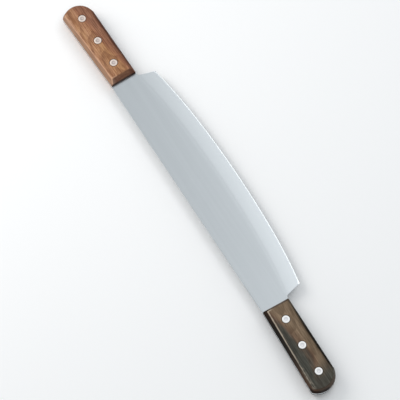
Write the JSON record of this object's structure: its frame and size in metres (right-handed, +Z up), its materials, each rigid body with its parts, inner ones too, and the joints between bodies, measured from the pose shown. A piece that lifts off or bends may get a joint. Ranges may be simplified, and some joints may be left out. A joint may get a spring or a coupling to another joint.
{
  "type": "two-handled frozen food knife",
  "caption": "Long curved-edge steel blade with a riveted wooden handle at each end, pushed down with both hands through frozen food.",
  "frame": {"origin": "under the middle of the knife, on the surface that its lower scales lie on", "axes": "+X along the knife towards the dark handle, +Y from the spine to the cutting edge, +Z up, square to the blade"},
  "size_m": [0.543, 0.0684, 0.02],
  "materials": {
    "blade_steel": "fine satin, ground along the edge",
    "dark_wood": "oiled, dark brown",
    "pale_wood": "oiled, reddish light brown",
    "rivet_metal": "ground flush, satin"
  },
  "bodies": {
    "root": {"blade": "blade_steel", "dark_upper_scale": "dark_wood", "dark_lower_scale": "dark_wood", "pale_upper_scale": "pale_wood", "pale_lower_scale": "pale_wood", "dark_front_rivet_pin": "rivet_metal", "dark_front_rivet_sleeve": "rivet_metal", "dark_middle_rivet_pin": "rivet_metal", "dark_middle_rivet_sleeve": "rivet_metal", "dark_butt_rivet_pin": "rivet_metal", "dark_butt_rivet_sleeve": "rivet_metal", "pale_front_rivet_pin": "rivet_metal", "pale_front_rivet_sleeve": "rivet_metal", "pale_middle_rivet_pin": "rivet_metal", "pale_middle_rivet_sleeve": "rivet_metal", "pale_butt_rivet_pin": "rivet_metal", "pale_butt_rivet_sleeve": "rivet_metal"}
  },
  "joints": []
}
